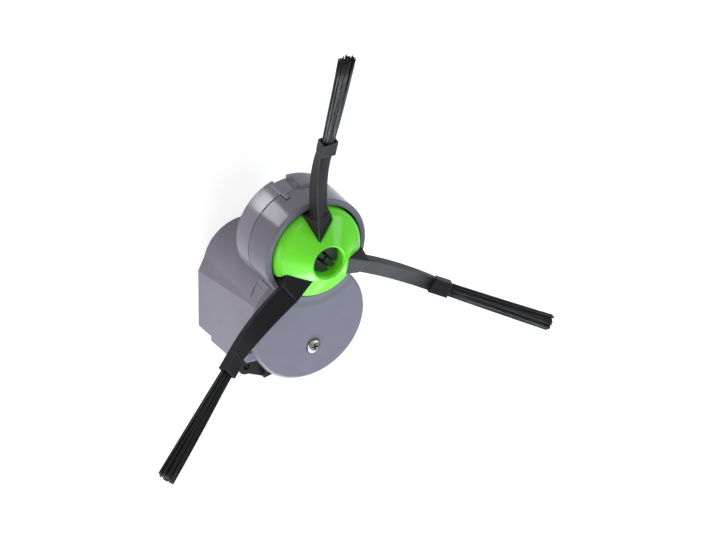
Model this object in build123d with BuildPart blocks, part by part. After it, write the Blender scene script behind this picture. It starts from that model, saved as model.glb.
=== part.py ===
"""Side brush module of a robot vacuum: three-arm brush on a geared motor drive.

Millimetres. The brush axis is the Z axis and the brush faces up; z = 0 is the back face of the
collar round the brush. The motor box reaches below it, and the module lies on the back of that
box. The round screw face of the cover lies toward +Y.
"""

import os
from math import acos, atan, atan2, cos, degrees, hypot, pi, radians, sin, sqrt, tan

from build123d import *

os.makedirs("parts", exist_ok=True)

# Housing: sizes along the brush axis, then sizes in plan
module_depth = 38.0
wall = 1.5
case_drop = 1.1
cup_depth = 7.9
cup_floor = 1.6
collar_floor = 1.3
collar_wall = 1.8
collar_step = 0.2
lip_bevel = 0.5
disc_center = (0.0, 24.0)
disc_radius = 18.6
disc_rise = 0.25
disc_thickness = 3.0
disc_ceiling = 2.0
disc_bevel = 0.6
relief_width = 1.6
case_center = (-1.2, 24.0)
case_radius = 14.9
parting_gap = 0.3

# Latch on top of the collar: directions round the brush axis, then sizes
latch_start = 255.0
latch_end = 277.0
notch_end = 293.0
tongue_end = 297.0
latch_thickness = 0.8
latch_drop = 4.8
latch_rise = 1.2
notch_depth = 1.1
tongue_rise = 0.3
tongue_back = 0.6
tongue_front = 3.4
tongue_gap = 0.2

# Motor box behind the cover: points in plan, seen from the motor axis
barrel_wall = 3.0
facet_top = (11.1, -6.8)
facet_bottom = (14.7, 2.9)
corner = (12.8, 23.8)
box_side = -1.1
left_draft = 3.4
bottom_step = 1.5
bottom_step_height = 7.0
chamber_side = (0.4, 9.1)
chamber_top = 16.5
shoulder_gap = 0.3

# Gear train: tooth form, tooth counts and layers
gear_module = 0.5
pressure_angle = 25.0
addendum = 0.8
dedendum = 1.1
tooth_thinning = 0.06
motor_teeth = 10
first_wheel_teeth = 25
first_pinion_teeth = 10
second_wheel_teeth = 28
second_pinion_teeth = 12
output_teeth = 52
gear_clearance = 0.43
first_gear_angle = 203.3
motor_angle = -7.2
first_width = 1.8
second_width = 2.0
third_width = 2.3
layer_gap = 0.3
pin_radius = 1.0
pin_head_radius = 1.7
pin_head = 0.4
running_gap = 0.05
fit_gap = 0.1

# Motor and its plate
motor_radius = 10.0
cap_length = 2.6
cap_step = 0.3
plate_thickness = 1.2
plate_gap = 0.2
nose_radius = 3.0
nose_rise = 0.1
shaft_radius = 1.0
shaft_depth = 6.0
small_screw_radius = 0.95
small_screw_head_radius = 1.7
small_screw_head = 0.6
small_screw_length = 4.0
small_boss_wall = 1.2
motor_screw_circle = 6.5
motor_screw_angle = 30.0
plate_screw_edge = 0.7
plate_screw_angles = (65.0, 205.0)
tab_offsets = (1.8, 5.8)
tab_width = 1.6
tab_thickness = 0.5
tab_root = 5.0
tab_end = 17.8
contact_width = 2.2
contact_thickness = 0.4
contact_height = 5.2
contact_lap = 1.2
contact_run = 0.6
contact_bend = 1.0

# Cover screw
screw_center = (-2.1, 32.0)
screw_radius = 1.25
screw_grip = 5.0
screw_head_radius = 2.2
screw_head = 1.5
screw_sink = 0.2
screw_bevel = 0.5
cross_length = 2.5
cross_width = 0.55
cross_depth = 1.0
cross_angle = 30.0
boss_radius = 3.0

# Drive post and its bearings
post_radius = 4.2
post_rise = 4.5
post_head_radius = 4.45
post_head = 1.0
post_bevel = 0.35
seat_radius = 3.2
seat_flat = 2.5
journal_radius = 2.0
journal_boss = 4.0
post_slot_width = 0.8
post_slot_offset = 1.1
post_slot_depth = 5.0
cross_slot_depth = 1.7
post_slot_angle = 137.0
drive_flat = 3.5
bushing_radius = 5.6
felt_radius = 8.0
felt_thickness = 0.8

# Brush hub: heights above the collar lip
hub_radius = 14.2
hub_gap = 0.6
hub_wall = 1.8
dome_edge = 1.45
dome_round = 3.0
dome_flats = 3
hub_rim_radius = 5.4
hub_rim = 7.4
hub_hole_radius = 4.86
sleeve_radius = 6.4
spider_drop = 2.9
spider_thickness = 2.0

# Brush arms: places across the arm, then heights above the collar lip
first_arm_angle = 40.0
arm_count = 3
arrow_tip = (7.15, 1.95, 6.0)
arrow_fall = 28.0
arrow_steep = 75.0
barb_inset = 3.2
barb_width = 4.2
arrow_edge_width = 3.9
arm_root = ((2.45, 7.0), (-2.7, 3.5), (-2.7, 2.5), (2.5, 2.2))
arm_end = ((1.7, 10.1), (-2.6, 10.2), (-2.6, 7.7), (1.55, 7.6))
arm_bend = 2.2
arm_spans = 3
arm_overlap = 0.8

# Sockets and bristles: heights above the collar lip
socket_radius = 43.0
socket_height = 11.0
socket_side = -0.4
socket_width = 4.7
socket_thickness = 3.2
socket_length = 4.8
socket_skew = 1.2
tip_radius = 75.0
tip_height = 24.3
tuft_width = 3.7
tuft_thickness = 2.4
tuft_tip_width = 5.6
tuft_tip_thickness = 3.4
tuft_flutes = 9
tuft_groove = 0.82
tuft_seat = 3.0

# Mounting bracket: places seen from the motor axis
bracket_thickness = 2.4
ear_offset = (14.0, 18.8)
ear_radius = 2.7
ear_hole_radius = 1.1
ear_boss = 0.8
foot_corner = 8.0
foot_width = 4.0
foot_length = 3.0
foot_slope = 1.2
foot_height = 3.8
plug_width = 2.2
plug_length = 3.4
plug_depth = 4.8

# Heights that follow from the sizes above
motor_face = -case_drop
plate_top = motor_face + plate_thickness
first_low = plate_top + nose_rise + layer_gap
first_high = first_low + first_width
second_low = first_high + layer_gap
second_high = second_low + second_width
third_low = second_high + layer_gap
third_high = third_low + third_width
parting = third_high + fit_gap
cup_base = third_high + 2 * layer_gap
cup_bottom = cup_base + cup_floor
lip = cup_bottom + cup_depth
back = lip - module_depth
disc_face = lip + disc_rise
motor_seat = back + wall
contact_level = back + contact_height
post_top = lip + post_rise
hub_base = cup_bottom + felt_thickness + layer_gap
spider_top = lip - spider_drop
seam = parting - parting_gap
screw_seat = disc_face - screw_sink - screw_head
shoulder_top = disc_face - disc_thickness - shoulder_gap

# Radii that follow from the sizes above
cup_radius = hub_radius + hub_gap
collar_radius = cup_radius + collar_wall
collar_outer = collar_radius + collar_step
relief_radius = collar_radius + relief_width
cut_radius = collar_outer + latch_thickness
barrel_radius = motor_radius + fit_gap + barrel_wall
plate_radius = case_radius - wall - plate_gap
plate_screw_circle = plate_radius - small_screw_head_radius - plate_screw_edge


def polar(radius, angle):
    return (radius * cos(radians(angle)), radius * sin(radians(angle)))


def beside(center, radius, angle):
    """Point at a distance and direction from a centre."""
    return (center[0] + radius * cos(radians(angle)), center[1] + radius * sin(radians(angle)))


def mesh_distance(teeth, other_teeth):
    return gear_module * (teeth + other_teeth) / 2


def tip_of(teeth):
    return gear_module * (teeth / 2 + addendum)


def second_gear_center():
    """Place the second compound gear by its two centre distances."""
    near = mesh_distance(second_pinion_teeth, output_teeth)
    far = mesh_distance(first_pinion_teeth, second_wheel_teeth)
    span = hypot(first_center[0], first_center[1])
    along = (span**2 + near**2 - far**2) / (2 * span)
    side = sqrt(near**2 - along**2)
    ux = first_center[0] / span
    uy = first_center[1] / span
    return (along * ux + side * uy, along * uy - side * ux)


first_reach = case_radius - wall - gear_clearance - tip_of(first_wheel_teeth)
first_center = beside(case_center, first_reach, first_gear_angle)
motor_axis = beside(first_center, mesh_distance(motor_teeth, first_wheel_teeth), motor_angle)
second_center = second_gear_center()


def motor_plane(height):
    """Plane across the motor axis."""
    return Plane((motor_axis[0], motor_axis[1], height))


def meshed_phase(center, teeth, other_center, other_teeth):
    """Turn of the second gear that sets its gap on a tooth of the first, which stands at zero."""
    line = degrees(atan2(other_center[1] - center[1], other_center[0] - center[0]))
    return line + 180 + (180 + line * teeth) / other_teeth


first_phase = meshed_phase(motor_axis, motor_teeth, first_center, first_wheel_teeth)
second_phase = meshed_phase(first_center, first_pinion_teeth, second_center, second_wheel_teeth)
output_phase = meshed_phase(second_center, second_pinion_teeth, (0, 0), output_teeth)


def gear_sketch(center, teeth, phase):
    """Gear outline, added to the open sketch; each flank runs straight between involute points."""
    pitch = gear_module * teeth / 2
    base = pitch * cos(radians(pressure_angle))
    tip = tip_of(teeth)
    root = pitch - dedendum * gear_module
    half = (pi * gear_module / 2 - tooth_thinning) / (2 * pitch)
    flank = tan(radians(pressure_angle)) - radians(pressure_angle)

    def half_angle(radius):
        roll = acos(min(1, base / radius))
        return half + flank - tan(roll) + roll

    corners = []
    for number in range(teeth):
        axis = radians(phase) + number * 2 * pi / teeth
        for radius, side in ((root, -1), (tip, -1), (tip, 1), (root, 1)):
            turn = axis + side * half_angle(max(radius, base))
            corners.append((center[0] + radius * cos(turn), center[1] + radius * sin(turn)))
    with BuildLine() as outline:
        Polyline(*corners, close=True)
    make_face(outline.edges())


def wedge_sketch(height, bottom):
    """Section of the motor box beside its barrel: slanted facet, drafted left face, flat bottom."""
    draft = height * tan(radians(left_draft))
    run = (facet_bottom[0] - facet_top[0], facet_bottom[1] - facet_top[1])
    lean = (facet_bottom[0] - corner[0]) / (corner[1] - facet_bottom[1])
    share = 1 - draft / (run[0] + lean * run[1])
    with BuildLine() as outline:
        Polyline(
            (0, 0),
            facet_top,
            (facet_top[0] + run[0] * share, facet_top[1] + run[1] * share),
            (corner[0] - draft + lean * (corner[1] - bottom), bottom),
            (box_side, bottom),
            close=True,
        )
    make_face(outline.edges())


def ring_sector(inner, outer, start, end):
    """Part of a ring round the brush axis between two directions."""
    with BuildLine() as outline:
        CenterArc((0, 0), inner, start, end - start)
        CenterArc((0, 0), outer, start, end - start)
        Line(polar(inner, start), polar(outer, start))
        Line(polar(inner, end), polar(outer, end))
    make_face(outline.edges())


motor_screw_points = [beside(motor_axis, motor_screw_circle, motor_screw_angle + turn) for turn in (0, 180)]
plate_screw_points = [beside(case_center, plate_screw_circle, angle) for angle in plate_screw_angles]
step_level = back + bottom_step_height
box_levels = [
    (back, step_level, corner[1] - bottom_step),
    (step_level, parting, corner[1]),
    (parting, shoulder_top, chamber_top - shoulder_gap),
]

# Rear housing: collar back, gear case and motor box in one moulding
with BuildPart() as rear_housing:
    for low, high, bottom in box_levels:
        with BuildSketch(motor_plane(low)):
            wedge_sketch(low - back, bottom)
        with BuildSketch(motor_plane(high)):
            wedge_sketch(high - back, bottom)
        loft(ruled=True)
    with BuildSketch(Plane.XY.offset(parting)):
        with Locations(case_center):
            Circle(case_radius + shoulder_gap)
    extrude(amount=module_depth, mode=Mode.SUBTRACT)
    with BuildSketch(motor_plane(back)):
        Circle(barrel_radius)
    extrude(amount=seam - back)
    with BuildSketch():
        Circle(collar_outer)
    extrude(amount=seam)
    with BuildSketch(Plane.XY.offset(motor_face - wall)):
        with Locations(case_center):
            Circle(case_radius)
    extrude(amount=seam - motor_face + wall)
    with BuildSketch(Plane.XY.offset(tongue_back)):
        ring_sector(collar_outer - wall, collar_outer + tongue_rise, notch_end, tongue_end)
    extrude(amount=parting + tongue_front - tongue_back)
    with BuildSketch(Plane.XY.offset(collar_floor)):
        Circle(collar_outer - wall)
    extrude(amount=module_depth, mode=Mode.SUBTRACT)
    with BuildSketch(Plane.XY.offset(motor_face)):
        with Locations(case_center):
            Circle(case_radius - wall)
    extrude(amount=module_depth, mode=Mode.SUBTRACT)
    with BuildSketch(motor_plane(motor_seat)):
        Circle(motor_radius + fit_gap)
    extrude(amount=module_depth, mode=Mode.SUBTRACT)
    with BuildSketch(motor_plane(motor_seat)):
        with BuildLine():
            Polyline(
                (chamber_side[0], chamber_top),
                (chamber_side[1], chamber_top),
                (chamber_side[1], corner[1] - bottom_step - wall),
                (chamber_side[0], corner[1] - bottom_step - wall),
                close=True,
            )
        make_face()
    extrude(amount=module_depth, mode=Mode.SUBTRACT)
    with BuildSketch(motor_plane(motor_seat)):
        for offset in tab_offsets:
            with Locations((offset, tab_end / 2)):
                Rectangle(tab_width + 2 * fit_gap, tab_end)
    extrude(amount=cap_length, mode=Mode.SUBTRACT)
    with BuildSketch(motor_plane(contact_level - fit_gap)):
        for offset in tab_offsets:
            with Locations((offset, corner[1] - wall)):
                Rectangle(contact_width + 2 * fit_gap, 2 * wall + bottom_step)
    extrude(amount=contact_thickness + 2 * fit_gap, mode=Mode.SUBTRACT)
    with BuildSketch():
        Circle(journal_boss)
    extrude(amount=second_high - layer_gap)
    with BuildSketch(Plane.XY.offset(collar_floor / 2)):
        Circle(journal_radius + running_gap)
    extrude(amount=module_depth, mode=Mode.SUBTRACT)
    with BuildSketch(Plane.XY.offset(motor_face)):
        with Locations(screw_center):
            Circle(boss_radius)
    extrude(amount=parting - motor_face)
    with BuildSketch(Plane.XY.offset(parting - screw_grip)):
        with Locations(screw_center):
            Circle(screw_radius)
    extrude(amount=module_depth, mode=Mode.SUBTRACT)
    with BuildSketch(Plane.XY.offset(plate_top - small_screw_length - wall)):
        with Locations(*plate_screw_points):
            RegularPolygon(small_screw_radius + small_boss_wall, 6)
        with Locations(motor_axis):
            Circle(motor_radius + fit_gap, mode=Mode.SUBTRACT)
    extrude(amount=small_screw_length + wall - plate_thickness)
    with BuildSketch(Plane.XY.offset(plate_top - small_screw_length - fit_gap)):
        with Locations(*plate_screw_points):
            RegularPolygon(small_screw_radius, 6)
    extrude(amount=small_screw_length, mode=Mode.SUBTRACT)
    with BuildSketch():
        ring_sector(collar_outer - notch_depth, cut_radius, latch_end, notch_end)
    extrude(amount=module_depth, mode=Mode.SUBTRACT)

rear_housing.part.label = "rear_housing"
export_step(rear_housing.part, "parts/rear_housing.step")

# Front cover: collar cup for the brush, round face with the screw, latch
with BuildPart() as front_cover:
    with BuildSketch(Plane.XY.offset(disc_face - disc_thickness)):
        with Locations(disc_center):
            Circle(disc_radius)
    extrude(amount=disc_thickness)
    chamfer(front_cover.edges().group_by(Axis.Z)[-1], disc_bevel)
    with BuildSketch(Plane.XZ):
        with BuildLine():
            Polyline((0, lip), (collar_radius, lip), (relief_radius, disc_face), (0, disc_face), close=True)
        make_face()
    revolve(axis=Axis.Z, mode=Mode.SUBTRACT)
    with BuildSketch(Plane.XZ):
        with BuildLine():
            Polyline(
                (0, parting),
                (collar_outer, parting),
                (collar_radius, lip - lip_bevel),
                (collar_radius - lip_bevel, lip),
                (0, lip),
                close=True,
            )
        make_face()
    revolve(axis=Axis.Z)
    with BuildSketch(Plane.XY.offset(parting)):
        with Locations(case_center):
            Circle(case_radius)
    extrude(amount=disc_face - disc_thickness - parting)
    with BuildSketch(Plane.XZ):
        with BuildLine():
            Polyline(
                (0, cup_bottom),
                (cup_radius, cup_bottom),
                (cup_radius, disc_face),
                (0, disc_face),
                close=True,
            )
        make_face()
    revolve(axis=Axis.Z, mode=Mode.SUBTRACT)
    with BuildSketch(Plane.XY.offset(parting)):
        with Locations(case_center):
            Circle(case_radius - wall)
        Circle(collar_outer, mode=Mode.SUBTRACT)
        with Locations(screw_center):
            Circle(boss_radius, mode=Mode.SUBTRACT)
    extrude(amount=disc_face - disc_ceiling - parting, mode=Mode.SUBTRACT)
    with BuildSketch(Plane.XY.offset(parting)):
        Circle(collar_outer - wall)
        with Locations(case_center):
            Circle(case_radius - wall)
        with Locations(screw_center):
            Circle(boss_radius, mode=Mode.SUBTRACT)
    extrude(amount=cup_base - parting, mode=Mode.SUBTRACT)
    with BuildSketch(Plane.XY.offset(cup_base)):
        Circle(bushing_radius)
    extrude(amount=cup_floor, mode=Mode.SUBTRACT)
    with BuildSketch(Plane.XY.offset(parting)):
        with Locations(screw_center):
            Circle(screw_radius + fit_gap)
    extrude(amount=module_depth, mode=Mode.SUBTRACT)
    with BuildSketch(Plane.XY.offset(screw_seat)):
        with Locations(screw_center):
            Circle(screw_head_radius + fit_gap)
    extrude(amount=module_depth, mode=Mode.SUBTRACT)
    with BuildSketch(Plane.XY.offset(parting)):
        ring_sector(collar_outer - notch_depth, cut_radius, latch_end, notch_end)
    extrude(amount=latch_rise, mode=Mode.SUBTRACT)
    with BuildSketch(Plane.XY.offset(parting)):
        ring_sector(
            collar_outer - wall - tongue_gap,
            cut_radius,
            notch_end - degrees(tongue_gap / collar_outer),
            tongue_end + degrees(tongue_gap / collar_outer),
        )
    extrude(amount=tongue_front + tongue_gap, mode=Mode.SUBTRACT)
    with BuildSketch(Plane.XY.offset(parting)):
        ring_sector(cup_radius + lip_bevel, collar_outer + latch_thickness, latch_start, latch_end)
    extrude(amount=latch_rise)
    with BuildSketch(Plane.XY.offset(parting - latch_drop)):
        ring_sector(
            collar_outer + fit_gap, collar_outer + latch_thickness, latch_start, latch_end
        )
    extrude(amount=latch_drop)

front_cover.part.label = "front_cover"
export_step(front_cover.part, "parts/front_cover.step")

# Mounting bracket: black lid of the terminal chamber with a screw ear and a foot
with BuildPart() as mount_bracket:
    with BuildSketch(motor_plane(parting)):
        with BuildLine():
            Polyline(
                (chamber_side[0], chamber_top),
                (chamber_side[1], chamber_top),
                (ear_offset[0], ear_offset[1] - ear_radius),
                (ear_offset[0], ear_offset[1] + ear_radius),
                (foot_corner, corner[1]),
                (foot_corner - foot_width, corner[1] - foot_slope),
                (chamber_side[0], corner[1] - foot_slope),
                close=True,
            )
        make_face()
        with Locations(ear_offset):
            Circle(ear_radius)
        with Locations((case_center[0] - motor_axis[0], case_center[1] - motor_axis[1])):
            Circle(case_radius + fit_gap, mode=Mode.SUBTRACT)
    extrude(amount=bracket_thickness)
    with BuildSketch(motor_plane(parting + bracket_thickness)):
        with Locations(ear_offset):
            Circle(ear_radius)
    extrude(amount=ear_boss)
    with BuildSketch(motor_plane(parting)):
        with Locations(ear_offset):
            Circle(ear_hole_radius)
    extrude(amount=bracket_thickness + ear_boss, mode=Mode.SUBTRACT)
    with BuildSketch(motor_plane(parting)):
        with BuildLine():
            Polyline(
                (foot_corner, corner[1]),
                (foot_corner - foot_width, corner[1] - foot_slope),
                (foot_corner - foot_width, corner[1] - foot_length),
                (foot_corner, corner[1] - foot_length),
                close=True,
            )
        make_face()
    extrude(amount=foot_height)
    with BuildSketch(motor_plane(parting)):
        plug_center = chamber_side[1] - fit_gap - plug_width / 2
        with Locations((plug_center, corner[1] - bottom_step - wall - fit_gap - plug_length / 2)):
            Rectangle(plug_width, plug_length)
    extrude(amount=-plug_depth)

mount_bracket.part.label = "mount_bracket"
export_step(mount_bracket.part, "parts/mount_bracket.step")

# Cover screw with a cross recess
with BuildPart() as cover_screw:
    with BuildSketch(Plane.XY.offset(screw_seat)):
        with Locations(screw_center):
            Circle(screw_head_radius)
    extrude(amount=screw_head)
    chamfer(cover_screw.edges().group_by(Axis.Z)[-1], screw_bevel)
    with BuildSketch(Plane.XY.offset(parting - screw_grip + fit_gap)):
        with Locations(screw_center):
            Circle(screw_radius)
    extrude(amount=screw_seat - parting + screw_grip - fit_gap)
    with BuildSketch(Plane.XY.offset(screw_seat + screw_head)):
        with Locations(Location((screw_center[0], screw_center[1], 0), (0, 0, cross_angle))):
            Rectangle(cross_length, cross_width)
            Rectangle(cross_width, cross_length)
    extrude(amount=-cross_depth, mode=Mode.SUBTRACT)

cover_screw.part.label = "cover_screw"
export_step(cover_screw.part, "parts/cover_screw.step")

# Motor: steel can, plastic end cap, two terminal tabs, shaft
with BuildPart() as motor_can:
    with BuildSketch(motor_plane(motor_seat + cap_length)):
        Circle(motor_radius)
    extrude(amount=motor_face - motor_seat - cap_length)
    with BuildSketch(motor_plane(motor_face)):
        Circle(nose_radius)
    extrude(amount=plate_thickness + nose_rise)
    with BuildSketch(motor_plane(motor_face - shaft_depth)):
        Circle(shaft_radius + running_gap)
    extrude(amount=2 * shaft_depth, mode=Mode.SUBTRACT)
    with BuildSketch(Plane.XY.offset(plate_top - small_screw_length - fit_gap)):
        with Locations(*motor_screw_points):
            RegularPolygon(small_screw_radius, 6)
    extrude(amount=small_screw_length, mode=Mode.SUBTRACT)

motor_can.part.label = "motor_can"
export_step(motor_can.part, "parts/motor_can.step")

tab_level = motor_seat + cap_length / 2
with BuildPart() as motor_cap:
    with BuildSketch(motor_plane(motor_seat)):
        Circle(motor_radius - cap_step)
    extrude(amount=cap_length)
    with BuildSketch(motor_plane(tab_level)):
        for offset in tab_offsets:
            with Locations((offset, motor_radius)):
                Rectangle(tab_width, 2 * (motor_radius - tab_root))
    extrude(amount=tab_thickness, mode=Mode.SUBTRACT)

motor_cap.part.label = "motor_cap"
export_step(motor_cap.part, "parts/motor_cap.step")

for side, offset in zip(("left", "right"), reversed(tab_offsets)):
    with BuildPart() as motor_tab:
        with BuildSketch(motor_plane(tab_level)):
            with Locations((offset, (tab_root + tab_end) / 2)):
                Rectangle(tab_width, tab_end - tab_root)
        extrude(amount=tab_thickness)
    motor_tab.part.label = "motor_tab_" + side
    export_step(motor_tab.part, "parts/motor_tab_" + side + ".step")

    with BuildPart() as contact:
        low = tab_level + tab_thickness
        lap = motor_axis[1] + tab_end
        outside = motor_axis[1] + corner[1] - bottom_step + fit_gap
        with BuildSketch(Plane.YZ.offset(motor_axis[0] + offset - contact_width / 2)):
            with BuildLine():
                Polyline(
                    (lap - contact_lap, low),
                    (lap - contact_lap, low + contact_thickness),
                    (lap + contact_run, low + contact_thickness),
                    (lap + contact_run + contact_bend, contact_level + contact_thickness),
                    (outside + contact_thickness, contact_level + contact_thickness),
                    (outside + contact_thickness, motor_seat),
                    (outside, motor_seat),
                    (outside, contact_level),
                    (lap + contact_run + contact_bend + layer_gap, contact_level),
                    (lap + contact_run + layer_gap, low),
                    close=True,
                )
            make_face()
        extrude(amount=contact_width)
    contact.part.label = "contact_" + side
    export_step(contact.part, "parts/contact_" + side + ".step")

with BuildPart() as motor_shaft:
    with BuildSketch(motor_plane(motor_face - shaft_depth + layer_gap)):
        Circle(shaft_radius)
    extrude(amount=first_high - motor_face + shaft_depth - layer_gap)

motor_shaft.part.label = "motor_shaft"
export_step(motor_shaft.part, "parts/motor_shaft.step")

with BuildPart() as motor_pinion:
    with BuildSketch(Plane.XY.offset(first_low)):
        gear_sketch(motor_axis, motor_teeth, 0)
        with Locations(motor_axis):
            Circle(shaft_radius, mode=Mode.SUBTRACT)
    extrude(amount=first_width)

motor_pinion.part.label = "motor_pinion"
export_step(motor_pinion.part, "parts/motor_pinion.step")

# Steel plate that holds the motor and carries the gear pins, and its four flush screws
with BuildPart() as motor_plate:
    with BuildSketch(Plane.XY.offset(motor_face)):
        with Locations(case_center):
            Circle(plate_radius)
        with Locations(motor_axis):
            Circle(nose_radius + fit_gap, mode=Mode.SUBTRACT)
        with Locations(first_center, second_center):
            Circle(pin_radius, mode=Mode.SUBTRACT)
        with Locations(screw_center):
            Circle(boss_radius + fit_gap, mode=Mode.SUBTRACT)
        with Locations(*motor_screw_points, *plate_screw_points):
            RegularPolygon(small_screw_radius + fit_gap, 6, mode=Mode.SUBTRACT)
    extrude(amount=plate_thickness)
    with BuildSketch(Plane.XY.offset(plate_top)):
        with Locations(*motor_screw_points, *plate_screw_points):
            RegularPolygon(small_screw_head_radius + fit_gap, 6)
    extrude(amount=-small_screw_head, mode=Mode.SUBTRACT)

motor_plate.part.label = "motor_plate"
export_step(motor_plate.part, "parts/motor_plate.step")

with BuildPart() as plate_screw_set:
    with BuildSketch(Plane.XY.offset(plate_top)):
        with Locations(*motor_screw_points, *plate_screw_points):
            RegularPolygon(small_screw_head_radius, 6)
    extrude(amount=-small_screw_head)
    with BuildSketch(Plane.XY.offset(plate_top)):
        with Locations(*motor_screw_points, *plate_screw_points):
            RegularPolygon(small_screw_radius, 6)
    extrude(amount=-small_screw_length)

plate_screw_set.part.label = "plate_screws"
export_step(plate_screw_set.part, "parts/plate_screws.step")

# Two compound gears on headed pins
with BuildPart() as first_gear:
    with BuildSketch(Plane.XY.offset(first_low)):
        gear_sketch(first_center, first_wheel_teeth, first_phase)
        with Locations(first_center):
            Circle(pin_radius + running_gap, mode=Mode.SUBTRACT)
    extrude(amount=first_width)
    with BuildSketch(Plane.XY.offset(first_high)):
        gear_sketch(first_center, first_pinion_teeth, 0)
        with Locations(first_center):
            Circle(pin_radius + running_gap, mode=Mode.SUBTRACT)
    extrude(amount=second_high - first_high)

first_gear.part.label = "first_gear"
export_step(first_gear.part, "parts/first_gear.step")

with BuildPart() as second_gear:
    with BuildSketch(Plane.XY.offset(second_low)):
        gear_sketch(second_center, second_wheel_teeth, second_phase)
        with Locations(second_center):
            Circle(pin_radius + running_gap, mode=Mode.SUBTRACT)
    extrude(amount=second_width)
    with BuildSketch(Plane.XY.offset(second_high)):
        gear_sketch(second_center, second_pinion_teeth, 0)
        with Locations(second_center):
            Circle(pin_radius + running_gap, mode=Mode.SUBTRACT)
    extrude(amount=third_high - second_high - layer_gap)

second_gear.part.label = "second_gear"
export_step(second_gear.part, "parts/second_gear.step")

with BuildPart() as first_pin:
    with BuildSketch(Plane.XY.offset(motor_face)):
        with Locations(first_center):
            Circle(pin_radius)
    extrude(amount=second_high + layer_gap - motor_face)
    with BuildSketch(Plane.XY.offset(second_high + layer_gap)):
        with Locations(first_center):
            Circle(pin_head_radius)
    extrude(amount=pin_head)

first_pin.part.label = "first_pin"
export_step(first_pin.part, "parts/first_pin.step")

with BuildPart() as second_pin:
    with BuildSketch(Plane.XY.offset(motor_face)):
        with Locations(second_center):
            Circle(pin_radius)
    extrude(amount=third_high - motor_face)
    with BuildSketch(Plane.XY.offset(third_high)):
        with Locations(second_center):
            Circle(pin_head_radius)
    extrude(amount=pin_head)

second_pin.part.label = "second_pin"
export_step(second_pin.part, "parts/second_pin.step")

# Output gear, pressed on the flats of the drive post
with BuildPart() as output_gear:
    with BuildSketch(Plane.XY.offset(third_low)):
        gear_sketch((0, 0), output_teeth, output_phase)
        Circle(seat_radius, mode=Mode.SUBTRACT)
    extrude(amount=third_width)
    with BuildSketch(Plane.XY.offset(third_low)):
        with Locations((0, seat_flat + seat_radius / 2), (0, -seat_flat - seat_radius / 2)):
            Rectangle(2 * seat_radius, seat_radius)
        Circle(seat_radius, mode=Mode.INTERSECT)
    extrude(amount=third_width)

output_gear.part.label = "output_gear"
export_step(output_gear.part, "parts/output_gear.step")

# Drive post: journal, gear seat, round shank, split head that snaps over the hub ledge
flat_length = lip - hub_base - wall
with BuildPart() as drive_post:
    with BuildSketch(Plane.XY.offset(collar_floor)):
        Circle(journal_radius)
    extrude(amount=third_low - collar_floor)
    with BuildSketch(Plane.XY.offset(third_low)):
        Circle(seat_radius)
        Rectangle(2 * seat_radius, 2 * seat_flat, mode=Mode.INTERSECT)
    extrude(amount=third_width)
    with BuildSketch(Plane.XY.offset(third_high)):
        Circle(post_radius)
    extrude(amount=post_top - third_high)
    with BuildSketch(Plane.XY.offset(post_top - post_head)):
        Circle(post_head_radius)
    extrude(amount=post_head)
    chamfer(drive_post.edges().group_by(Axis.Z)[-1], post_bevel)
    with BuildSketch(Plane.XY.offset(post_top)):
        with Locations(Location((0, 0, 0), (0, 0, post_slot_angle))):
            with Locations((0, post_slot_offset), (0, -post_slot_offset)):
                Rectangle(3 * post_radius, post_slot_width)
    extrude(amount=-post_slot_depth, mode=Mode.SUBTRACT)
    with BuildSketch(Plane.XY.offset(post_top)):
        with Locations(Location((0, 0, 0), (0, 0, post_slot_angle))):
            Rectangle(post_slot_width, 2 * post_slot_offset)
    extrude(amount=-cross_slot_depth, mode=Mode.SUBTRACT)
    with BuildSketch(Plane.XY.offset(hub_base)):
        Circle(post_radius)
        with Locations(Location((0, 0, 0), (0, 0, post_slot_angle))):
            Rectangle(3 * post_radius, 2 * drive_flat, mode=Mode.SUBTRACT)
    extrude(amount=flat_length, mode=Mode.SUBTRACT)

drive_post.part.label = "drive_post"
export_step(drive_post.part, "parts/drive_post.step")

with BuildPart() as post_bushing:
    with BuildSketch(Plane.XY.offset(cup_base)):
        Circle(bushing_radius)
        Circle(post_radius + running_gap, mode=Mode.SUBTRACT)
    extrude(amount=cup_floor)

post_bushing.part.label = "post_bushing"
export_step(post_bushing.part, "parts/post_bushing.step")

with BuildPart() as felt_ring:
    with BuildSketch(Plane.XY.offset(cup_bottom)):
        Circle(felt_radius)
        Circle(post_radius + layer_gap, mode=Mode.SUBTRACT)
    extrude(amount=felt_thickness)

felt_ring.part.label = "felt_ring"
export_step(felt_ring.part, "parts/felt_ring.step")

arm_angles = [first_arm_angle + number * 360 / arm_count for number in range(arm_count)]
barb_radius = hub_radius - barb_inset


def dome_shoulder():
    """Points of the rounded edge between the skirt and the cone, in equal flats of one arc."""
    turn = pi / 2 - atan2(hub_rim - dome_edge, hub_radius - hub_rim_radius)
    middle = (hub_radius - dome_round, lip + dome_edge - dome_round * tan(turn / 2))
    steps = [turn * number / dome_flats for number in range(dome_flats + 1)]
    return [(middle[0] + dome_round * cos(step), middle[1] + dome_round * sin(step)) for step in steps]


def arrow_width(radius):
    """Width of the arrow opening on its steep side, which runs straight from the tip to the edge."""
    share = (radius - arrow_tip[0]) / (hub_radius - arrow_tip[0])
    return arrow_tip[1] + (arrow_edge_width - arrow_tip[1]) * share


def arrow_sketch(angle, gap, outside, neck_width):
    """Pointed outline where an arm enters the hub, open over the hub edge."""
    with BuildLine() as outline:
        Polyline(
            (arrow_tip[0] - 3 * gap, arrow_tip[1]),
            (outside, arrow_width(outside) + gap),
            (outside, -neck_width - gap),
            (barb_radius, -barb_width - gap),
            close=True,
        )
    with Locations(Location((0, 0, 0), (0, 0, angle))):
        add(make_face(outline.edges(), mode=Mode.PRIVATE))


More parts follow.
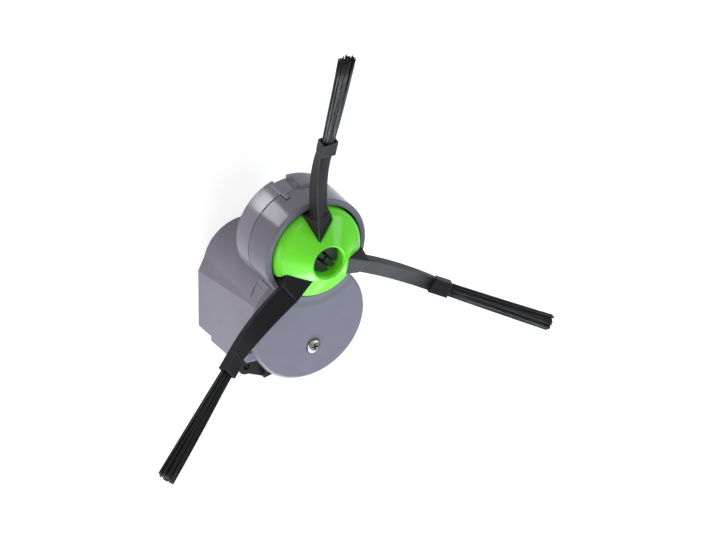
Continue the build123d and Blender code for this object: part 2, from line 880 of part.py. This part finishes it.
# Brush hub: domed cap with a sleeve for the post and three arrow openings
with BuildPart() as brush_hub:
    with BuildSketch(Plane.XZ):
        with BuildLine():
            Polyline(
                (hub_radius, hub_base),
                *dome_shoulder(),
                (hub_rim_radius, lip + hub_rim),
                (hub_hole_radius, lip + hub_rim - hub_rim_radius + hub_hole_radius),
                (hub_hole_radius, post_top - post_head),
                (post_radius + fit_gap, post_top - post_head),
                (post_radius + fit_gap, hub_base),
                (sleeve_radius, hub_base),
                (sleeve_radius, spider_top),
                (hub_radius - hub_wall, spider_top),
                (hub_radius - hub_wall, hub_base),
                close=True,
            )
        make_face()
    revolve(axis=Axis.Z)
    with BuildSketch(Plane.XY.offset(spider_top)):
        for angle in arm_angles:
            arrow_sketch(angle, fit_gap, hub_radius + hub_gap, barb_width)
    extrude(amount=module_depth, mode=Mode.SUBTRACT)
    with BuildSketch(Plane.XY.offset(hub_base)):
        Circle(post_radius + fit_gap)
        with Locations(Location((0, 0, 0), (0, 0, post_slot_angle))):
            Rectangle(3 * post_radius, 2 * drive_flat + 2 * fit_gap, mode=Mode.SUBTRACT)
    extrude(amount=flat_length - fit_gap)

brush_hub.part.label = "brush_hub"
export_step(brush_hub.part, "parts/brush_hub.step")


def arm_plane(angle, radius, height=0, side=0, slope=0):
    """Plane across an arm: x across the arm, y up, z outward along it, y = 0 at a lip height."""
    out = polar(1, angle)
    up = radians(slope)
    return Plane(
        origin=(radius * out[0] - side * out[1], radius * out[1] + side * out[0], lip + height),
        x_dir=(-out[1], out[0], 0),
        z_dir=(out[0] * cos(up), out[1] * cos(up), sin(up)),
    )


def ridge_plane(angle):
    """Plane across the ridge of an arm's root, at its inner tip."""
    out = polar(1, angle)
    along = (hub_radius - arrow_tip[0], arm_root[0][0] - arrow_tip[1], arm_root[0][1] - arrow_tip[2])
    level = arm_plane(angle, arrow_tip[0], arrow_tip[2], arrow_tip[1])
    ahead = (along[0] * out[0] - along[1] * out[1], along[0] * out[1] + along[1] * out[0], along[2])
    across = (-ahead[1], ahead[0], 0)
    return Plane(level.origin, x_dir=across, z_dir=ahead)


def arm_section(share):
    """Four corners across an arm, from its pitched root to its level end."""
    bend = share**arm_bend
    return [
        (start[0] + (end[0] - start[0]) * bend, start[1] + (end[1] - start[1]) * bend)
        for start, end in zip(arm_root, arm_end)
    ]


tuft_slope = degrees(atan((tip_height - socket_height) / (tip_radius - socket_radius)))
roof_reach = hub_radius - arrow_tip[0]
arm_run = socket_radius - socket_length * cos(radians(tuft_slope)) + arm_overlap - hub_radius

# Brush arms: one soft moulding, a ring under the hub dome with three pitched, twisted arms
with BuildPart() as brush_arms:
    with BuildSketch(Plane.XY.offset(spider_top - spider_thickness)):
        Circle(hub_radius - hub_wall - fit_gap)
        Circle(sleeve_radius + fit_gap, mode=Mode.SUBTRACT)
    extrude(amount=spider_thickness)
    for angle in arm_angles:
        with BuildSketch(Plane.XY.offset(spider_top)):
            arrow_sketch(angle, 0, hub_radius, -arm_root[1][0])
        extrude(amount=lip + arm_root[0][1] - spider_top)
        with BuildSketch(ridge_plane(angle).offset(-barb_inset)):
            with BuildLine():
                Polyline(
                    (0, 0),
                    (roof_reach / tan(radians(arrow_steep)), -roof_reach),
                    (roof_reach, -roof_reach),
                    (roof_reach, roof_reach),
                    (-roof_reach, roof_reach),
                    (-roof_reach, -roof_reach * tan(radians(arrow_fall))),
                    close=True,
                )
            make_face()
        extrude(amount=barb_inset + hub_radius, mode=Mode.SUBTRACT)
        for number in range(arm_spans + 1):
            with BuildSketch(arm_plane(angle, hub_radius + arm_run * number / arm_spans)):
                with BuildLine():
                    Polyline(*arm_section(number / arm_spans), close=True)
                make_face()
        loft()
        mouth = arm_plane(angle, socket_radius, socket_height, socket_side, tuft_slope)
        with BuildSketch(Plane(mouth.origin, x_dir=mouth.x_dir, z_dir=mouth.y_dir)):
            with BuildLine():
                Polyline(
                    (socket_width / 2, 0),
                    (-socket_width / 2, 0),
                    (-socket_width / 2, socket_length + socket_skew),
                    (socket_width / 2, socket_length),
                    close=True,
                )
            make_face()
        extrude(amount=socket_thickness / 2, both=True)
        with BuildSketch(mouth):
            Rectangle(tuft_width + 2 * fit_gap, tuft_thickness + 2 * fit_gap)
        extrude(amount=-tuft_seat, mode=Mode.SUBTRACT)

brush_arms.part.label = "brush_arms"
export_step(brush_arms.part, "parts/brush_arms.step")


def tuft_sketch(wide, thick):
    """Fluted section of a flat bristle bundle."""
    turns = [pi * number / tuft_flutes for number in range(2 * tuft_flutes)]
    reaches = [tuft_groove if number % 2 else 1 for number in range(2 * tuft_flutes)]
    points = [
        (wide / 2 * reach * cos(turn), thick / 2 * reach * sin(turn))
        for reach, turn in zip(reaches, turns)
    ]
    with BuildLine() as outline:
        Polyline(*points, close=True)
    make_face(outline.edges())


# Bristle tufts, one in each socket, spreading toward the cut end
tuft_length = hypot(tip_radius - socket_radius, tip_height - socket_height)
for name, angle in zip(("first", "second", "third"), arm_angles):
    with BuildPart() as tuft:
        mouth = arm_plane(angle, socket_radius, socket_height, socket_side, tuft_slope)
        with BuildSketch(mouth.offset(-tuft_seat)):
            tuft_sketch(tuft_width, tuft_thickness)
        with BuildSketch(mouth.offset(tuft_length)):
            tuft_sketch(tuft_tip_width, tuft_tip_thickness)
        loft(ruled=True)
    tuft.part.label = name + "_tuft"
    export_step(tuft.part, "parts/" + name + "_tuft.step")
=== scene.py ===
import math
import random

import bmesh
import bpy
from mathutils import Matrix, Vector


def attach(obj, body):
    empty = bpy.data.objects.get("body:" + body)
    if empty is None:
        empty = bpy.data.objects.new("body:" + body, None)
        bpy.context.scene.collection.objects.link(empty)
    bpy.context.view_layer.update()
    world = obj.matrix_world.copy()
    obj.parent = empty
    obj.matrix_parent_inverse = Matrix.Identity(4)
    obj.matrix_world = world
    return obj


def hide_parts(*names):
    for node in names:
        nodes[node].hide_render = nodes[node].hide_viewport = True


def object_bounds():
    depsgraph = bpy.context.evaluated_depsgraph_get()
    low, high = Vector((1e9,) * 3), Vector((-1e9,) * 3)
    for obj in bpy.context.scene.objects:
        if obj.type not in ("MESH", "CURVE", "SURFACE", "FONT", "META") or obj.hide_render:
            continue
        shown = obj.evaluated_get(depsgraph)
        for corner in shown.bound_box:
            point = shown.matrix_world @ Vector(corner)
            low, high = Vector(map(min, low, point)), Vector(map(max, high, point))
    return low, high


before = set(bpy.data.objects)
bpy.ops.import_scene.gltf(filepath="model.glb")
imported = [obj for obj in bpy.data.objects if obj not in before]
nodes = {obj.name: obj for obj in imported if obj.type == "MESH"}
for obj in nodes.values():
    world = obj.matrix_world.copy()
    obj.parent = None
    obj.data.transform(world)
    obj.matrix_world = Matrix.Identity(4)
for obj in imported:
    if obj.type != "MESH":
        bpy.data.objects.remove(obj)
cad_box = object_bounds()

# Rear housing
# Back half of the module: the ring behind the brush, the gear case and the faceted motor box.
# One injection moulding in grey ABS, closed by the front cover and one screw.
MM = 0.001


def new_finish(name):
    """Empty material, with its node tree and its shader."""
    finish = bpy.data.materials.new(name)
    finish.use_nodes = True
    return finish, finish.node_tree, finish.node_tree.nodes["Principled BSDF"]


def add_node(tree, kind, **values):
    """New node of a material, with values on its inputs: to_min sets the input To Min."""
    node = tree.nodes.new(kind)
    for socket, value in values.items():
        node.inputs[socket.replace("_", " ").title()].default_value = value
    return node


def grained_finish(name, colour, roughness, mottle, grain_size, grain_depth, edge_round, specular=0.5):
    """Moulded or pressed surface: a faint mottle, cloudy gloss, fine grain and softened edges."""
    cloud_size = 6 * MM
    gloss_spread = 0.12
    finish, tree, shader = new_finish(name)
    shader.inputs["Specular IOR Level"].default_value = specular
    link = tree.links.new
    place = add_node(tree, "ShaderNodeTexCoord")
    cloud = add_node(tree, "ShaderNodeTexNoise", scale=1 / cloud_size, detail=3)
    link(place.outputs["Object"], cloud.inputs["Vector"])
    tint = add_node(tree, "ShaderNodeValToRGB")
    tint.name = "mottle"
    dark, light = tint.color_ramp.elements
    dark.position = 0.3
    dark.color = [c * (1 - mottle) for c in colour] + [1]
    light.position = 0.7
    light.color = [min(1, c * (1 + mottle)) for c in colour] + [1]
    link(cloud.outputs["Fac"], tint.inputs["Fac"])
    link(tint.outputs["Color"], shader.inputs["Base Color"])
    gloss = add_node(
        tree,
        "ShaderNodeMapRange",
        to_min=roughness * (1 - gloss_spread),
        to_max=roughness * (1 + gloss_spread),
    )
    link(cloud.outputs["Fac"], gloss.inputs["Value"])
    link(gloss.outputs["Result"], shader.inputs["Roughness"])
    grain = add_node(tree, "ShaderNodeTexNoise", scale=1 / grain_size, detail=2)
    link(place.outputs["Object"], grain.inputs["Vector"])
    bump = add_node(tree, "ShaderNodeBump", strength=0.25, distance=grain_depth)
    link(grain.outputs["Fac"], bump.inputs["Height"])
    edge = add_node(tree, "ShaderNodeBevel", radius=edge_round)
    edge.name = "soft_edge"
    edge.samples = 4
    link(edge.outputs["Normal"], bump.inputs["Normal"])
    link(bump.outputs["Normal"], shader.inputs["Normal"])
    return finish


def dress(node, finish):
    """Give a solid of the frame its finish."""
    mesh = nodes[node].data
    mesh.materials.clear()
    mesh.materials.append(finish)


housing_finish = grained_finish(
    "grey_abs", (0.262, 0.244, 0.309), roughness=0.22, mottle=0.03,
    grain_size=0.25 * MM, grain_depth=0.002 * MM, edge_round=0.35 * MM,
)
dress("rear_housing", housing_finish)


# Corner webs
# Short walls of the rear housing: one closes the corner between collar, shoulder and gear case, the
# other the corner between gear case and bracket. Moulded with the housing in the same grey ABS.
def new_piece(name, solid, *finishes):
    """Object of the scene from a finished mesh."""
    bmesh.ops.recalc_face_normals(solid, faces=solid.faces)
    mesh = bpy.data.meshes.new(name)
    solid.to_mesh(mesh)
    solid.free()
    for finish in finishes:
        mesh.materials.append(finish)
    piece = bpy.data.objects.new(name, mesh)
    bpy.context.collection.objects.link(piece)
    return piece


def wrap(solid, lower, upper):
    """Wall of quads between two rings of corners."""
    walls = []
    for corner in range(len(lower)):
        after = (corner + 1) % len(lower)
        walls.append(solid.faces.new((lower[corner], lower[after], upper[after], upper[corner])))
    return walls


def prism(name, outline, low, high, finish):
    """Upright prism on an outline in the plane of the module."""
    solid = bmesh.new()
    lower = [solid.verts.new((x * MM, y * MM, low * MM)) for x, y in outline]
    upper = [solid.verts.new((x * MM, y * MM, high * MM)) for x, y in outline]
    solid.faces.new(list(reversed(lower)))
    solid.faces.new(upper)
    wrap(solid, lower, upper)
    return new_piece(name, solid, finish)


collar_web_outline = ((12.05, 11.72), (12.75, 13.6), (12.6, 14.6), (10.2, 14.6), (10.0, 13.4))
case_web_outline = ((12.6, 36.4), (12.0, 34.0), (14.2, 33.0), (17.2, 33.6), (17.2, 36.4))
for name, outline, low, high in (
    ("collar_web", collar_web_outline, 7.04, 14.2),
    ("case_web", case_web_outline, 7.32, 12.5),
):
    web = prism(name, outline, low, high, housing_finish)
    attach(web, "housing")

# Front cover
# Collar that the brush sits in, and the flat round face over the gears with the latch on its rim.
# Grey ABS a shade darker than the rear half, from a smoother mould, snapped and screwed onto it.
cover_finish = grained_finish(
    "grey_abs_face", (0.213, 0.205, 0.256), roughness=0.17, mottle=0.03,
    grain_size=0.22 * MM, grain_depth=0.001 * MM, edge_round=0.6 * MM, specular=0.3,
)
dress("front_cover", cover_finish)

# Mounting bracket
# Black lid over the terminal chamber, with the ear for a fixing screw and a small foot.
# Moulded in black plastic and pushed into the housing by its plug.
black_finish = grained_finish(
    "black_abs", (0.008, 0.008, 0.009), roughness=0.38, mottle=0.1,
    grain_size=0.2 * MM, grain_depth=0.004 * MM, edge_round=0.2 * MM, specular=0.3,
)
dress("mount_bracket", black_finish)


# Motor, plate and pins
# Small sealed motor in a plated steel can, screwed to a steel plate that carries the gear pins.
# Its tabs and the contact strips are stamped brass, and the pinion is turned brass.
def metal_finish(name, colour, roughness, scratch_size):
    """Bare or plated metal with fine brushed streaks and uneven gloss."""
    gloss_spread = 0.3
    streak_shade = 0.85
    streak_stretch = (1, 0.2, 1)
    finish, tree, shader = new_finish(name)
    shader.inputs["Metallic"].default_value = 1
    link = tree.links.new
    place = add_node(tree, "ShaderNodeTexCoord")
    stretch = add_node(tree, "ShaderNodeMapping", scale=streak_stretch)
    link(place.outputs["Object"], stretch.inputs["Vector"])
    streak = add_node(tree, "ShaderNodeTexNoise", scale=1 / scratch_size, detail=4)
    link(stretch.outputs["Vector"], streak.inputs["Vector"])
    gloss = add_node(
        tree,
        "ShaderNodeMapRange",
        to_min=roughness * (1 - gloss_spread),
        to_max=roughness * (1 + gloss_spread),
    )
    link(streak.outputs["Fac"], gloss.inputs["Value"])
    link(gloss.outputs["Result"], shader.inputs["Roughness"])
    tint = add_node(tree, "ShaderNodeValToRGB")
    dark, light = tint.color_ramp.elements
    dark.color = [c * streak_shade for c in colour] + [1]
    light.color = list(colour) + [1]
    link(streak.outputs["Fac"], tint.inputs["Fac"])
    link(tint.outputs["Color"], shader.inputs["Base Color"])
    return finish


steel_finish = metal_finish("plated_steel", (0.6, 0.6, 0.62), roughness=0.32, scratch_size=0.4 * MM)
for node in ("motor_can", "motor_plate", "motor_shaft", "first_pin", "second_pin"):
    dress(node, steel_finish)
brass_finish = metal_finish("stamped_brass", (0.72, 0.52, 0.2), roughness=0.28, scratch_size=0.3 * MM)
for node in ("motor_tab_left", "motor_tab_right", "contact_left", "contact_right", "motor_pinion"):
    dress(node, brass_finish)
dress("motor_cap", black_finish)

# Bushing
# Plain bearing of the drive post, pressed into the floor of the cup.
# Sintered bronze, soaked with oil for life.
bronze_finish = metal_finish("sintered_bronze", (0.5, 0.33, 0.16), roughness=0.5, scratch_size=0.2 * MM)
dress("post_bushing", bronze_finish)

# Gears
# Two compound gears that run loose on the steel pins, and the output gear pressed on the post.
# Moulded in natural white acetal, which has a waxy surface.
acetal_finish = grained_finish(
    "white_acetal", (0.8, 0.79, 0.75), roughness=0.4, mottle=0.03,
    grain_size=0.3 * MM, grain_depth=0.003 * MM, edge_round=0.1 * MM,
)
for node in ("first_gear", "second_gear", "output_gear"):
    dress(node, acetal_finish)

# Felt ring
# Dust seal that fits round the post and keeps hair and grit from the bearing.
# Cut from grey pressed felt and laid on the floor of the cup.
felt_finish = grained_finish(
    "pressed_felt", (0.2, 0.2, 0.2), roughness=0.95, mottle=0.3,
    grain_size=0.15 * MM, grain_depth=0.05 * MM, edge_round=0.1 * MM,
)
dress("felt_ring", felt_finish)


# Screws
# Cross recess screws in bright zinc. The one in the round face holds the two halves together;
# its pan head stands on the face, and its shank runs down into the boss of the rear half.
def ring_of(solid, centre, radius, across, lift, sides):
    """Ring of corners round a centre, in the plane of two directions."""
    ring = []
    for side in range(sides):
        angle = 2 * math.pi * side / sides
        around = math.cos(angle) * across + math.sin(angle) * lift
        ring.append(solid.verts.new(centre + radius * around))
    return ring


zinc_finish = metal_finish("bright_zinc", (0.5, 0.5, 0.49), roughness=0.32, scratch_size=0.25 * MM)
dress("plate_screws", zinc_finish)
screw_spot = Vector((-2.1, 32.0, 0)) * MM
screw_profile = (
    (1.25, 2.4), (1.25, 15.85), (2.2, 15.85), (2.2, 17.8), (2.12, 18.05), (1.92, 18.24), (1.55, 18.36),
)
screw_sides = 40
crown_height = 17.0
cross_half = 1.15
cross_wide = 0.27
cross_top = 18.42
cross_bottom = 17.3
cross_taper = 0.7
cross_turn = math.radians(5)
screw = bmesh.new()
screw_rings = []
for radius, height in screw_profile:
    centre = screw_spot + Vector((0, 0, height)) * MM
    screw_rings.append(
        ring_of(screw, centre, radius * MM, Vector((1, 0, 0)), Vector((0, 1, 0)), screw_sides)
    )
for lower, upper in zip(screw_rings, screw_rings[1:]):
    for wall in wrap(screw, lower, upper):
        wall.smooth = lower[0].co.z > crown_height * MM
screw.faces.new(list(reversed(screw_rings[0])))
cross_outline = []
for quarter in range(4):
    quarter_turn = Matrix.Rotation(cross_turn + quarter * math.pi / 2, 2)
    for along, aside in ((cross_half, -cross_wide), (cross_half, cross_wide), (cross_wide, cross_wide)):
        cross_outline.append(quarter_turn @ Vector((along, aside)))
cross_edge = [screw.verts.new(screw_spot + Vector((x, y, cross_top)) * MM) for x, y in cross_outline]
cross_deep = [
    screw.verts.new(screw_spot + Vector((x * cross_taper, y * cross_taper, cross_bottom)) * MM)
    for x, y in cross_outline
]
wrap(screw, cross_edge, cross_deep)
screw.faces.new(cross_deep)
rim_edges = [edge for edge in screw.edges if len(edge.link_faces) == 1]
bmesh.ops.triangle_fill(screw, edges=rim_edges, use_beauty=True)
pan_screw = new_piece("pan_head_screw", screw, zinc_finish)
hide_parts("cover_screw")
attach(pan_screw, "housing")

# Drive post
# Split post that turns the hub and snaps over its inner ledge.
# Moulded in dark grey nylon, so that its fingers can spring.
post_finish = grained_finish(
    "dark_nylon", (0.03, 0.031, 0.034), roughness=0.36, mottle=0.1,
    grain_size=0.2 * MM, grain_depth=0.004 * MM, edge_round=0.15 * MM,
)
dress("drive_post", post_finish)

# Brush hub
# Glossy lime green cap with an opening for the root of each arm.
# Moulded in one piece with the sleeve that takes the post.
hub_finish = grained_finish(
    "lime_gloss", (0.185, 0.86, 0.042), roughness=0.16, mottle=0.02,
    grain_size=0.8 * MM, grain_depth=0.002 * MM, edge_round=0.8 * MM, specular=0.3,
)
dress("brush_hub", hub_finish)

# Brush arms
# One soft black moulding: a ring held under the dome and three pitched arms that end in sockets.
# The ridges are painted a little paler than the faces, as a painted highlight where the rounded edges
# catch the light.
arm_finish = grained_finish(
    "black_elastomer", (0.0105, 0.0085, 0.0115), roughness=0.55, mottle=0.12,
    grain_size=0.3 * MM, grain_depth=0.005 * MM, edge_round=0.4 * MM, specular=0.2,
)
# Painted highlight: a paler grey is mixed into the base colour along the rounded ridges, where the edges
# would catch the light.
ridge_highlight_grey = (0.1, 0.095, 0.105, 1)
ridge_start = 0.995
ridge_full = 0.9
arm_tree = arm_finish.node_tree
arm_link = arm_tree.links.new
face = add_node(arm_tree, "ShaderNodeNewGeometry")
ridge = add_node(arm_tree, "ShaderNodeVectorMath")
ridge.operation = "DOT_PRODUCT"
arm_link(arm_tree.nodes["soft_edge"].outputs["Normal"], ridge.inputs[0])
arm_link(face.outputs["True Normal"], ridge.inputs[1])
ridge_highlight_mask = add_node(arm_tree, "ShaderNodeMapRange", from_min=ridge_start, from_max=ridge_full)
arm_link(ridge.outputs["Value"], ridge_highlight_mask.inputs["Value"])
painted_highlight_mix = add_node(arm_tree, "ShaderNodeMix")
painted_highlight_mix.data_type = "RGBA"
painted_highlight_mix.inputs["B"].default_value = ridge_highlight_grey
arm_link(ridge_highlight_mask.outputs["Result"], painted_highlight_mix.inputs["Factor"])
arm_link(arm_tree.nodes["mottle"].outputs["Color"], painted_highlight_mix.inputs["A"])
arm_link(painted_highlight_mix.outputs["Result"], arm_tree.nodes["Principled BSDF"].inputs["Base Color"])
dress("brush_arms", arm_finish)


# Bristle tufts
# Straight black nylon bristles, folded and stapled into each socket and cut off square at the end.
# They leave the socket as a tight bundle and spread a little toward the tip.
def end_ring(points, direction):
    """Centre of the points of a tuft solid that lie at its end in one direction, and their offsets."""
    end_band = 0.3 * MM
    limit = max(p.dot(direction) for p in points) - end_band
    ring = [p for p in points if p.dot(direction) > limit]
    centre = sum(ring, Vector()) / len(ring)
    return centre, [p - centre for p in ring]


bristle_finish = grained_finish(
    "black_nylon", (0.008, 0.008, 0.009), roughness=0.5, mottle=0.25,
    grain_size=0.15 * MM, grain_depth=0.002 * MM, edge_round=0.05 * MM, specular=0.35,
)
# Painted highlight: every fourth strand takes a paler nylon colour, which stands in for the glints of
# light along the bristles.
glint_strand_finish = grained_finish(
    "painted_glint_nylon", (0.03, 0.029, 0.029), roughness=0.45, mottle=0.25,
    grain_size=0.15 * MM, grain_depth=0.002 * MM, edge_round=0.05 * MM, specular=0.35,
)
axis_passes = 3
glint_every = 4
bristle_count = 84
bristle_radius = 0.19 * MM
bristle_rings = 7
bristle_sides = 5
bristle_turn = math.pi * (3 - math.sqrt(5))
root_flare = 1.05
tip_flare = {"first_tuft": 1.12, "second_tuft": 0.9, "third_tuft": 0.92}
tip_trim = {"first_tuft": 1.0 * MM, "second_tuft": -0.8 * MM, "third_tuft": 0.3 * MM}
tip_wander = 0.5
tip_reach = (0.95, 1.08)
ragged_cut = 0.35
bow_limit = 0.25
random.seed(7)
for node in ("first_tuft", "second_tuft", "third_tuft"):
    corners = sorted({tuple(round(c, 6) for c in v.co) for v in nodes[node].data.vertices})
    points = [Vector(corner) for corner in corners]
    nearest = min(points, key=lambda p: p.xy.length)
    farthest = max(points, key=lambda p: p.xy.length)
    along = (farthest - nearest).normalized()
    for axis_pass in range(axis_passes):
        root, root_spread = end_ring(points, -along)
        tip, tip_spread = end_ring(points, along)
        along = (tip - root).normalized()
    across = max(tip_spread, key=lambda p: p.length)
    across = (across - across.dot(along) * along).normalized()
    lift = across.cross(along).normalized()
    root_wide = max(abs(p.dot(across)) for p in root_spread) * root_flare
    root_thick = max(abs(p.dot(lift)) for p in root_spread) * root_flare
    tip_wide = max(abs(p.dot(across)) for p in tip_spread) * tip_flare[node]
    tip_thick = max(abs(p.dot(lift)) for p in tip_spread) * tip_flare[node]
    tuft = bmesh.new()
    for number in range(bristle_count):
        # Painted highlight: the paler finish goes on every fourth strand.
        shade = 1 if number % glint_every == 1 else 0
        spread = math.sqrt((number + 0.5) / bristle_count)
        turn = number * bristle_turn
        seat = root + spread * (math.cos(turn) * root_wide * across + math.sin(turn) * root_thick * lift)
        wander = turn + random.uniform(-tip_wander, tip_wander)
        reach = spread * random.uniform(*tip_reach)
        end = tip + reach * (math.cos(wander) * tip_wide * across + math.sin(wander) * tip_thick * lift)
        end += along * (tip_trim[node] - random.uniform(0, ragged_cut) * MM)
        bow = random.uniform(-bow_limit, bow_limit) * MM * across
        bow += random.uniform(-bow_limit, bow_limit) * MM * lift
        rings = []
        for step in range(bristle_rings):
            share = step / (bristle_rings - 1)
            point = seat.lerp(end, share) + bow * math.sin(math.pi * share)
            rings.append(ring_of(tuft, point, bristle_radius, across, lift, bristle_sides))
        for lower, upper in zip(rings, rings[1:]):
            for wall in wrap(tuft, lower, upper):
                wall.smooth = True
                wall.material_index = shade
        for cut in (list(reversed(rings[0])), rings[-1]):
            tuft.faces.new(cut).material_index = shade
    bristles = new_piece(node + "_bristles", tuft, bristle_finish, glint_strand_finish)
    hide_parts(node)
    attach(bristles, "brush")

# Floor
# Plain matt sweep under the module, large enough to fill the view.
# It shows white to the camera and in reflections, and keeps the soft shadow.
floor_low = cad_box[0][2]
floor_half = 3.0
floor_glow = 0.75
floor_mesh = bpy.data.meshes.new("floor")
floor_mesh.from_pydata(
    [(x * floor_half, y * floor_half, floor_low) for x, y in ((-1, -1), (1, -1), (1, 1), (-1, 1))],
    [],
    [(0, 1, 2, 3)],
)
floor = bpy.data.objects.new("floor", floor_mesh)
bpy.context.collection.objects.link(floor)
floor_finish, floor_tree, floor_shader = new_finish("white_sweep")
floor_shader.inputs["Base Color"].default_value = (0.4, 0.4, 0.4, 1)
floor_shader.inputs["Roughness"].default_value = 0.9
floor_shader.inputs["Specular IOR Level"].default_value = 0.0
floor_shader.inputs["Emission Color"].default_value = (1, 1, 1, 1)
floor_link = floor_tree.links.new
seen = add_node(floor_tree, "ShaderNodeLightPath")
either = add_node(floor_tree, "ShaderNodeMath")
either.operation = "MAXIMUM"
floor_link(seen.outputs["Is Camera Ray"], either.inputs[0])
floor_link(seen.outputs["Is Glossy Ray"], either.inputs[1])
any_view = add_node(floor_tree, "ShaderNodeMath")
any_view.operation = "MAXIMUM"
floor_link(either.outputs["Value"], any_view.inputs[0])
floor_link(seen.outputs["Is Transmission Ray"], any_view.inputs[1])
glow = add_node(floor_tree, "ShaderNodeMath")
glow.operation = "MULTIPLY"
glow.inputs[1].default_value = floor_glow
floor_link(any_view.outputs["Value"], glow.inputs[0])
floor_link(glow.outputs["Value"], floor_shader.inputs["Emission Strength"])
floor_mesh.materials.append(floor_finish)

# Camera
# Long lens that looks down on the brush from its left.
# The frame is 716 pixels wide, and the lens is given in the same pixels.
view_right = Vector((-0.8537, -0.0973, 0.5116))
view_up = Vector((-0.1784, -0.8683, -0.4629))
view_back = Vector((0.4893, -0.4864, 0.7239))
camera_spot = Vector((412.86, -416.08, 650.33)) * MM
frame_pixels = 716
lens_pixels = 3000
sensor_width = 36
camera_data = bpy.data.cameras.new("camera")
camera_data.sensor_width = sensor_width
camera_data.lens = sensor_width * lens_pixels / frame_pixels
camera_data.clip_end = 10
camera = bpy.data.objects.new("camera", camera_data)
camera_turn = Matrix((view_right, view_up, view_back)).transposed()
camera.matrix_world = Matrix.Translation(camera_spot) @ camera_turn.to_4x4()
bpy.context.collection.objects.link(camera)
bpy.context.scene.camera = camera


# Light
# Large soft boxes round the module, placed in metres along the view, and an even white room.
# A small panel by the floor, hidden from the camera, shows in reflections alone as the collar's streak.
def area_lamp(name, size, power, tint, place):
    """Rectangular lamp with a place and a turn of its own."""
    lamp_data = bpy.data.lights.new(name, "AREA")
    lamp_data.shape = "RECTANGLE"
    lamp_data.size, lamp_data.size_y = size
    lamp_data.energy = power
    lamp_data.color = tint
    lamp = bpy.data.objects.new(name, lamp_data)
    lamp.matrix_world = place
    bpy.context.collection.objects.link(lamp)
    return lamp


def soft_box(name, right, up, back, size, power, tint):
    """Lamp that faces the brush, placed to the right, up and back as the camera sees it."""
    spot = right * view_right + up * view_up + back * view_back
    aim = (-spot).to_track_quat("-Z", "Y")
    area_lamp(name, size, power, tint, Matrix.Translation(spot) @ aim.to_matrix().to_4x4())


cool_tint = (0.87, 0.96, 1.0)
warm_tint = (1.0, 0.89, 0.94)
soft_box("low_strip", 0.03, -0.6, 0.18, size=(0.8, 0.25), power=1.3, tint=cool_tint)
soft_box("low_back_strip", 0.1, -0.57, -0.12, size=(0.5, 0.25), power=4.2, tint=cool_tint)
soft_box("left_box", -0.5, -0.3, 0.33, size=(0.35, 0.35), power=1.3, tint=warm_tint)
soft_box("upper_box", -0.25, 0.35, 0.56, size=(0.4, 0.4), power=0.25, tint=warm_tint)
soft_box("right_box", 0.55, -0.06, 0.2, size=(0.3, 0.5), power=1.6, tint=cool_tint)
soft_box("front_box", 0.07, 0.15, 0.75, size=(0.3, 0.3), power=0.6, tint=warm_tint)
panel_spot = Vector((29.5 * MM, -29.5 * MM, floor_low + 3 * MM))
panel_turn = Matrix.Rotation(math.radians(-45), 4, "Z") @ Matrix.Rotation(math.pi, 4, "X")
panel_place = Matrix.Translation(panel_spot) @ panel_turn
panel = area_lamp(
    "collar_panel", size=(17 * MM, 20 * MM), power=0.009, tint=(1, 1, 1), place=panel_place
)
panel.visible_camera = False
panel.visible_diffuse = False
room = bpy.data.worlds.new("room")
room.use_nodes = True
room_light = room.node_tree.nodes["Background"]
room_light.inputs["Color"].default_value = (1, 1, 1, 1)
room_light.inputs["Strength"].default_value = 0.24
bpy.context.scene.world = room
bpy.context.scene.view_settings.view_transform = "Standard"
